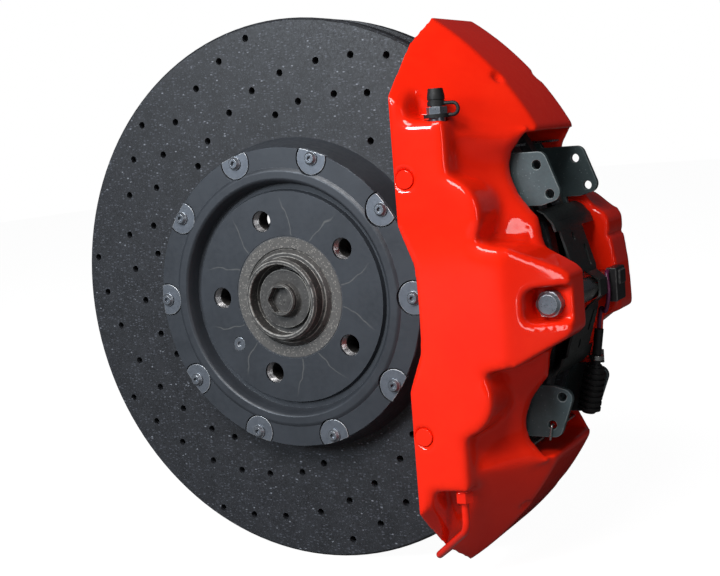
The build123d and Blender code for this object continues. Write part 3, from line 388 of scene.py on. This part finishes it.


# the light edge colours below are painted edge highlights together with worn metal, brightest on the washers,
# bolts and spring
FINISHES = {
    "disc_ceramic": finish(
        "carbon_disc", (0.012, 0.013, 0.0155), (0.024, 0.026, 0.031), (0.40, 0.56),
        patch=0.016, specular=0.42,
        grit=(0.0005, 0.000016),
        specks=(
            (0.0011, 0.26, 2.6, (0.075, 0.082, 0.10)), (0.0009, 0.20, 0.35, (0.09, 0.10, 0.12)),
            (0.0020, 0.30, 1.0, (0.006, 0.006, 0.007)), (0.0013, 0.022, 1.8, (0.26, 0.28, 0.32)),
        ),
    ),
    "bell_alloy": finish(
        "anodised_bell", (0.032, 0.037, 0.045), (0.046, 0.053, 0.064), (0.34, 0.46),
        patch=0.03, metallic=0.25,
        grit=(0.0007, 0.000006), turned=(0.0009, 0.000001), scratches=0.35, wear_and_highlight=(0.6, (0.22, 0.24, 0.27)),
        petals=(0.55, (0.10, 0.098, 0.095), (0.24, 0.23, 0.215), (0.20, 0.20, 0.19)),
    ),
    "washer_steel": finish(
        "blasted_washer", (0.12, 0.135, 0.16), (0.17, 0.19, 0.22), (0.36, 0.52), patch=0.006, metallic=0.6,
        grit=(0.0006, 0.00002), specks=((0.0009, 0.2, 1.0, (0.07, 0.075, 0.085)),),
        wear_and_highlight=(0.9, (0.62, 0.64, 0.66)),
    ),
    "bolt_steel": finish(
        "plated_steel", (0.16, 0.18, 0.21), (0.26, 0.285, 0.32), (0.26, 0.40), patch=0.008, metallic=0.75,
        grit=(0.0008, 0.00001), specks=((0.0012, 0.1, 1.0, (0.09, 0.095, 0.105)),),
        wear_and_highlight=(0.6, (0.62, 0.64, 0.66)), scratches=0.4,
    ),
    "hub_steel": finish(
        "forged_hub", (0.040, 0.039, 0.039), (0.085, 0.083, 0.080), (0.50, 0.72), patch=0.008, metallic=0.3,
        grit=(0.0014, 0.00012), turned=(0.0010, 0.000008), wear_and_highlight=(0.9, (0.30, 0.295, 0.28)), scratches=0.3,
        specks=((0.0012, 0.22, 1.0, (0.19, 0.185, 0.175)), (0.0022, 0.14, 1.0, (0.02, 0.02, 0.02))),
    ),
    "bearing_steel": finish(
        "ground_steel", (0.50, 0.50, 0.51), (0.62, 0.62, 0.63), (0.12, 0.2), metallic=1.0,
        turned=(0.0006, 0.000001),
    ),
    "cage_plastic": finish("cage_polymer", (0.20, 0.13, 0.06), (0.28, 0.19, 0.09), (0.4, 0.55), patch=0.01),
    "caliper_paint": finish(
        "gloss_red_paint", (0.86, 0.014, 0.002), (0.92, 0.022, 0.004), (0.42, 0.50), patch=0.05, coat=0.8,
        coat_rough=0.05, grit=(0.0026, 0.0000025), specular=0.05,
    ),
    "backplate_paint": finish(
        "coated_backplate", (0.030, 0.047, 0.052), (0.050, 0.076, 0.082), (0.40, 0.55), patch=0.012,
        metallic=0.1, grit=(0.0007, 0.000025), specks=((0.001, 0.12, 1.0, (0.10, 0.13, 0.135)),),
        wear_and_highlight=(0.5, (0.25, 0.28, 0.28)),
    ),
    "friction_material": finish(
        "friction_compound", (0.035, 0.032, 0.030), (0.075, 0.070, 0.064), (0.75, 0.9), patch=0.006,
        grit=(0.001, 0.00012),
        specks=((0.0012, 0.16, 1.6, (0.30, 0.25, 0.17)), (0.0016, 0.10, 1.0, (0.35, 0.35, 0.36))),
    ),
    "shim_steel": finish(
        "coated_shim", (0.035, 0.035, 0.036), (0.06, 0.06, 0.062), (0.4, 0.55), patch=0.01, metallic=0.3,
        scratches=0.5,
    ),
    "piston_alloy": finish(
        "anodised_piston", (0.30, 0.28, 0.24), (0.38, 0.36, 0.31), (0.25, 0.35), metallic=0.9, patch=0.01,
    ),
    "stainless": finish(
        "bright_sheet", (0.34, 0.34, 0.34), (0.46, 0.46, 0.45), (0.22, 0.34), patch=0.01, metallic=1.0,
        scratches=0.6,
    ),
    "spring_black": finish(
        "black_spring_steel", (0.010, 0.013, 0.013), (0.020, 0.024, 0.024), (0.34, 0.46), patch=0.012,
        metallic=0.2, grit=(0.0008, 0.00001), wear_and_highlight=(1.0, (0.32, 0.42, 0.38)), scratches=0.4,
    ),
    "black_rubber": finish(
        "black_rubber", (0.006, 0.006, 0.0065), (0.013, 0.013, 0.014), (0.48, 0.64),
        patch=0.008, specular=0.35,
        grit=(0.0007, 0.00003), specks=((0.0011, 0.06, 1.0, (0.05, 0.05, 0.05)),),
        wear_and_highlight=(0.25, (0.08, 0.08, 0.08)),
    ),
    "pipe_coat": finish(
        "painted_pipe", (0.78, 0.012, 0.002), (0.88, 0.018, 0.004), (0.40, 0.48), patch=0.02, coat=0.8,
        coat_rough=0.06, grit=(0.0016, 0.000005), specular=0.08,
    ),
    "black_plastic": finish(
        "moulded_black", (0.008, 0.008, 0.009), (0.016, 0.016, 0.018), (0.36, 0.5), patch=0.01,
        grit=(0.0006, 0.000015), wear_and_highlight=(0.5, (0.12, 0.12, 0.12)),
    ),
    # the purple tint of the lead is a painted reflection of the red caliper
    "lead_sleeve": finish(
        "lead_sleeve", (0.085, 0.010, 0.045), (0.15, 0.022, 0.085), (0.26, 0.38), patch=0.006,
        grit=(0.0006, 0.00001), specks=((0.0008, 0.12, 2.0, (0.03, 0.005, 0.018)),),
    ),
}
THREAD = finish(
    "cut_thread", (0.30, 0.30, 0.31), (0.46, 0.46, 0.47), (0.22, 0.34), patch=0.004, metallic=0.9,
    grit=(0.0005, 0.00001),
)


# ---- mesh helpers --------------------------------------------------------------------------------
WELD = 0.002 * MM
FLAT_ENOUGH = radians(0.6)
BEVELLED_FROM = radians(32)
SHARP_FROM = radians(38)


def merged_copy(node, name):
    """A new object with a CAD node's shape, its triangles joined into closed solids."""
    mesh = nodes[node].data.copy()
    build = bmesh.new()
    build.from_mesh(mesh)
    bmesh.ops.remove_doubles(build, verts=build.verts, dist=WELD)
    bmesh.ops.dissolve_degenerate(build, edges=build.edges, dist=WELD / 4)
    bmesh.ops.dissolve_limit(build, angle_limit=FLAT_ENOUGH, verts=build.verts, edges=build.edges)
    build.to_mesh(mesh)
    build.free()
    mesh.name = name
    mesh.materials.clear()
    piece = bpy.data.objects.new(name, mesh)
    scene.collection.objects.link(piece)
    return piece


def give(piece, node):
    """The finish, body and CAD node that a piece stands for."""
    piece.data.materials.clear()
    piece.data.materials.append(FINISHES[slot_of_node[node]])
    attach(piece, body_of_node[node])
    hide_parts(node)
    return piece


def baked(piece):
    """The piece with its modifiers turned into plain mesh."""
    graph = bpy.context.evaluated_depsgraph_get()
    mesh = bpy.data.meshes.new_from_object(piece.evaluated_get(graph))
    piece.modifiers.clear()
    piece.data = mesh
    mesh.name = piece.name
    return piece


def softened(node, name, width):
    """A CAD node's shape with its hard edges broken, shaded smooth across the curves."""
    piece = merged_copy(node, name)
    bevel = piece.modifiers.new("edge_break", "BEVEL")
    bevel.width = width
    bevel.segments = 2
    bevel.limit_method = "ANGLE"
    bevel.angle_limit = BEVELLED_FROM
    bevel.use_clamp_overlap = True
    bevel.miter_outer = "MITER_ARC"
    # two empty slots, so that the broken edges come out marked by the second
    for _ in range(2):
        piece.data.materials.append(None)
    bevel.material = 1
    piece = baked(piece)
    broken = piece.data.attributes.new("edge", "FLOAT", "FACE")
    for face in piece.data.polygons:
        broken.data[face.index].value = face.material_index
        face.material_index = 0
    piece.data.shade_smooth()
    piece.data.set_sharp_from_angle(angle=SHARP_FROM)
    flat = piece.modifiers.new("flat_faces", "WEIGHTED_NORMAL")
    flat.keep_sharp = True
    flat.weight = 90
    return give(baked(piece), node)


# ---- caliper casting -----------------------------------------------------------------------------
CASTING_GRAIN = 1.3 * MM
# the slopes lie outside the flat face, this far behind it
FACE_RADIUS = 163 * MM
FACE_HALF_HEIGHT = 117 * MM
FACE_OUTER_X = 157 * MM
SLOPE_INNER_X = 122 * MM
SLOPE_DEPTH = -6 * MM
SLOPE_BLEND = 6 * MM
# the bridge bolt's boss keeps its crisp pocket
BOSS_INNER_X = 185 * MM
BOSS_HALF_HEIGHT = 45 * MM


def caliper_casting():
    """The caliper body with the rounded edges and blended corners of a painted casting."""
    piece = merged_copy("caliper_body", "caliper_casting")
    remesh = piece.modifiers.new("remesh", "REMESH")
    remesh.mode = "VOXEL"
    remesh.voxel_size = CASTING_GRAIN
    remesh.use_smooth_shade = True
    piece = baked(piece)
    slopes = piece.vertex_groups.new(name="slopes")
    for vertex in piece.data.vertices:
        x, y, z = vertex.co
        depth = MID_Y - abs(y - MID_Y)
        radius = sqrt(x * x + z * z)
        away = max(radius - FACE_RADIUS, abs(z) - FACE_HALF_HEIGHT, x - FACE_OUTER_X)
        on_boss = x > BOSS_INNER_X and abs(z) < BOSS_HALF_HEIGHT
        if depth < SLOPE_DEPTH and away > 0 and x > SLOPE_INNER_X and not on_boss:
            weight = min(1.0, away / SLOPE_BLEND) * min(1.0, (SLOPE_DEPTH - depth) / SLOPE_BLEND)
            slopes.add([vertex.index], weight, "REPLACE")
    all_over = piece.modifiers.new("all_over", "SMOOTH")
    all_over.factor = 0.5
    all_over.iterations = 14
    blend = piece.modifiers.new("blend", "SMOOTH")
    blend.factor = 0.5
    blend.iterations = 70
    blend.vertex_group = "slopes"
    thin = piece.modifiers.new("thin", "DECIMATE")
    thin.ratio = 0.45
    piece = baked(piece)
    piece.data.shade_smooth()
    return give(piece, "caliper_body")


caliper_casting()


# ---- pieces that repeat round the axle axis --------------------------------------------------------
def ring_of(piece_mesh, name, count, radius, start, material):
    """One small mesh set in a ring round the axle axis by Geometry Nodes, as one plain mesh."""
    tree = bpy.data.node_groups.new(name + "_ring", "GeometryNodeTree")
    tree.interface.new_socket("Item", in_out="INPUT", socket_type="NodeSocketObject")
    settings = (
        ("Count", "NodeSocketInt", count), ("Radius", "NodeSocketFloat", radius),
        ("Start", "NodeSocketFloat", radians(start)),
    )
    for label, kind, value in settings:
        tree.interface.new_socket(label, in_out="INPUT", socket_type=kind).default_value = value
    tree.interface.new_socket("Geometry", in_out="OUTPUT", socket_type="NodeSocketGeometry")
    add = tree.nodes.new
    link = tree.links.new
    given = add("NodeGroupInput")

    # one item on each corner of a circle, turned to face the same way from the axis
    circle = add("GeometryNodeMeshCircle")
    link(given.outputs["Count"], circle.inputs["Vertices"])
    link(given.outputs["Radius"], circle.inputs["Radius"])
    info = add("GeometryNodeObjectInfo")
    link(given.outputs["Item"], info.inputs["Object"])
    step = add("ShaderNodeMath")
    step.operation = "DIVIDE"
    step.inputs[0].default_value = 2 * pi
    link(given.outputs["Count"], step.inputs[1])
    turn = add("ShaderNodeMath")
    turn.operation = "MULTIPLY"
    link(step.outputs[0], turn.inputs[0])
    link(add("GeometryNodeInputIndex").outputs[0], turn.inputs[1])
    spin = add("ShaderNodeCombineXYZ")
    link(turn.outputs[0], spin.inputs["Z"])
    instance = add("GeometryNodeInstanceOnPoints")
    link(circle.outputs[0], instance.inputs["Points"])
    link(info.outputs["Geometry"], instance.inputs["Instance"])
    link(spin.outputs[0], instance.inputs["Rotation"])
    realize = add("GeometryNodeRealizeInstances")
    link(instance.outputs[0], realize.inputs[0])

    # turned to the first place, then stood up round the axle axis
    first_turn = add("ShaderNodeCombineXYZ")
    link(given.outputs["Start"], first_turn.inputs["Z"])
    turned_ring = add("GeometryNodeTransform")
    link(realize.outputs[0], turned_ring.inputs["Geometry"])
    link(first_turn.outputs[0], turned_ring.inputs["Rotation"])
    stood_up = add("GeometryNodeTransform")
    stood_up.inputs["Rotation"].default_value = (radians(90), 0, 0)
    link(turned_ring.outputs[0], stood_up.inputs["Geometry"])
    paint = add("GeometryNodeSetMaterial")
    paint.inputs["Material"].default_value = material
    link(stood_up.outputs[0], paint.inputs["Geometry"])
    link(paint.outputs[0], add("NodeGroupOutput").inputs[0])

    item = bpy.data.objects.new(name + "_item", piece_mesh)
    scene.collection.objects.link(item)
    holder = bpy.data.objects.new(name, bpy.data.meshes.new(name))
    scene.collection.objects.link(holder)
    modifier = holder.modifiers.new("ring", "NODES")
    modifier.node_group = tree
    sockets = {s.name: s.identifier for s in tree.interface.items_tree if s.in_out == "INPUT"}
    modifier[sockets["Item"]] = item
    for label, _, value in settings:
        modifier[sockets[label]] = value
    bpy.context.view_layer.update()
    holder = baked(holder)
    bpy.data.objects.remove(item)
    return holder


def thread_turns(radius, depth, pitch, first, last):
    """A stack of thread turns that stand in from a hole's wall, along +Z from first to last."""
    build = bmesh.new()
    segments = 28
    count = int((last - first) / pitch)
    for turn in range(count):
        base = first + turn * pitch
        profile = ((radius, base), (radius - depth, base + pitch * 0.5), (radius, base + pitch))
        rings = [[
            build.verts.new((r * cos(2 * pi * k / segments), r * sin(2 * pi * k / segments), z))
            for k in range(segments)
        ] for r, z in profile]
        for k in range(segments):
            for low, high in zip(rings, rings[1:] + rings[:1]):
                build.faces.new((low[k], low[(k + 1) % segments], high[(k + 1) % segments], high[k]))
    bmesh.ops.recalc_face_normals(build, faces=build.faces)
    mesh = bpy.data.meshes.new("thread_turns")
    build.to_mesh(mesh)
    build.free()
    return mesh


one_thread = thread_turns(radius=0.00745, depth=0.0008, pitch=0.0015, first=-0.0078, last=-0.0008)
threads = ring_of(one_thread, "wheel_bolt_threads", WHEEL_HOLES, WHEEL_HOLE_CIRCLE, FIRST_WHEEL_HOLE, THREAD)
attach(threads, "rotor")


# ---- refined CAD pieces ----------------------------------------------------------------------------
for node, name, width in (
    ("friction_ring", "disc_ring", 0.00035), ("disc_bell", "bell", 0.0004),
    ("bell_washers", "bell_washer_set", 0.0003), ("bell_bolts", "bell_bolt_set", 0.0003),
    ("bell_nuts", "bell_nut_set", 0.0003),
    ("bell_bushes", "bell_bush_set", 0.0003), ("disc_retaining_screw", "retaining_screw", 0.00025),
    ("wheel_hub", "hub", 0.0006), ("axle_bolt", "axle_bolt_body", 0.0006),
    ("axle_bolt_washer", "axle_washer", 0.0005),
    ("bearing_outer_ring", "bearing_housing", 0.0005), ("blanking_plugs", "blanking_plug_set", 0.0004),
    ("outboard_backplate", "outboard_plate", 0.0005), ("inboard_backplate", "inboard_plate", 0.0005),
    ("outboard_friction_pad", "outboard_lining", 0.0006), ("inboard_friction_pad", "inboard_lining", 0.0006),
    ("bridge_bolt", "bridge_bolt_body", 0.0006), ("bridge_sleeve", "bridge_tube", 0.0005),
    ("pad_spring", "pad_spring_sheet", 0.0003), ("outboard_bleed_screw", "outboard_bleeder_screw", 0.0004),
    ("inboard_bleed_screw", "inboard_bleeder_screw", 0.0004), ("outboard_bleed_cap", "outboard_cap", 0.0003),
    ("inboard_bleed_cap", "inboard_cap", 0.0003), ("crossover_pipe", "pipe", 0.0002),
    ("pipe_nuts", "pipe_nut_set", 0.0004),
    ("sensor_connector", "connector", 0.0006), ("sensor_boot", "boot", 0.0004),
    ("boot_bracket", "boot_clamp", 0.0003),
    ("sensor_lead", "lead", 0.0002), ("wire_clip", "clip_wire", 0.0001),
):
    softened(node, name, width)

for node in (
    "bearing_inner_races", "bearing_seals", "bearing_balls", "bearing_cages",
    "outboard_shim", "outboard_pistons", "inboard_shim", "inboard_pistons",
    "piston_seals", "dust_boots", "abutment_plates",
):
    nodes[node].data.materials.clear()
    nodes[node].data.materials.append(FINISHES[slot_of_node[node]])


# ---- floor and light -------------------------------------------------------------------------------
FLOOR_GAP = 0.5 * MM
FLOOR_GLOW = 0.97
AIM = Vector((0.1, 0, 0))


def studio():
    """A plain pale floor, with one large soft light high in front and weaker ones to each side.

    The floor and the world are pale only where they are looked at straight, so they throw little light.
    """
    build = bmesh.new()
    low = cad_low.z - FLOOR_GAP
    build.faces.new([build.verts.new((x, y, low)) for x, y in ((-4, -3), (4, -3), (4, 6), (-4, 6))])
    mesh = bpy.data.meshes.new("floor")
    build.to_mesh(mesh)
    build.free()
    floor = bpy.data.objects.new("floor", mesh)
    scene.collection.objects.link(floor)
    paint = finish(
        "pale_floor", (0.14, 0.14, 0.14), (0.15, 0.15, 0.15), (0.8, 0.9), patch=0.6, specular=0.02,
    )
    shader = paint.node_tree.nodes["Principled BSDF"]
    shader.inputs["Emission Color"].default_value = (1.0, 1.0, 1.0, 1.0)
    seen = paint.node_tree.nodes.new("ShaderNodeLightPath").outputs["Is Camera Ray"]
    glow = math_node(paint.node_tree, "MULTIPLY", seen, FLOOR_GLOW)
    paint.node_tree.links.new(glow, shader.inputs["Emission Strength"])
    floor.data.materials.append(paint)

    for name, place_at, size, power, colour in (
        ("key", (0.0, -1.45, 1.30), (1.1, 0.8), 40.0, (1.0, 0.98, 0.96)),
        ("sheen", (-0.75, -1.75, 0.66), (0.4, 0.4), 22.0, (0.84, 0.92, 1.0)),
        ("strip", (1.15, -0.75, 0.25), (0.10, 0.9), 2.0, (1.0, 1.0, 1.0)),
    ):
        light = bpy.data.lights.new(name, "AREA")
        light.shape = "RECTANGLE"
        light.size, light.size_y = size
        light.energy = power
        light.color = colour
        lamp = bpy.data.objects.new(name, light)
        scene.collection.objects.link(lamp)
        lamp.location = place_at
        lamp.rotation_euler = (AIM - Vector(place_at)).to_track_quat("-Z", "Y").to_euler()

    world = bpy.data.worlds.new("studio")
    scene.world = world
    world.use_nodes = True
    tree = world.node_tree
    seen = tree.nodes.new("ShaderNodeLightPath").outputs["Is Camera Ray"]
    sky = mix_colour(tree, seen, (0.035, 0.037, 0.042), (1.0, 1.0, 1.0))
    tree.links.new(sky, tree.nodes["Background"].inputs["Color"])
    scene.view_settings.view_transform = "Standard"


studio()
